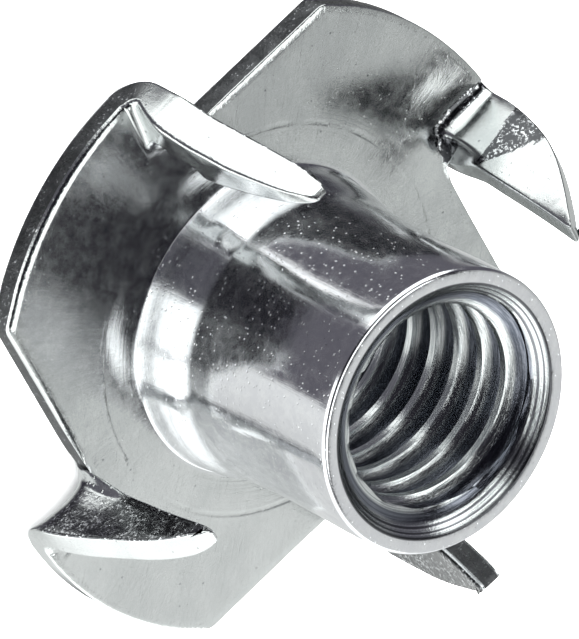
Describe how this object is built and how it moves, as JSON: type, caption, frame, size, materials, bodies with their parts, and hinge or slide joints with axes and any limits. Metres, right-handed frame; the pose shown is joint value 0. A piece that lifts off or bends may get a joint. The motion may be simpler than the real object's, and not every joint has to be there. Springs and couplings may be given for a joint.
{
  "type": "tee nut",
  "caption": "Stamped sheet steel tee nut: round flange cut to a pinwheel of lobes with folded prongs, drawn barrel with flared foot and tapped hole, bright zinc plated",
  "frame": {"origin": "the point where the barrel axis meets the plane of the flange back", "axes": "+Z runs along the barrel axis from the flange towards the mouth, and +X goes through the free corner of one lobe"},
  "size_m": [0.022, 0.022, 0.0105],
  "materials": {
    "zinc_plated_steel": "bright zinc plating over stamped low-carbon steel, satin on the flat flange and shiny on the drawn barrel"
  },
  "bodies": {
    "root": {"tee_nut": "zinc_plated_steel"}
  },
  "joints": []
}
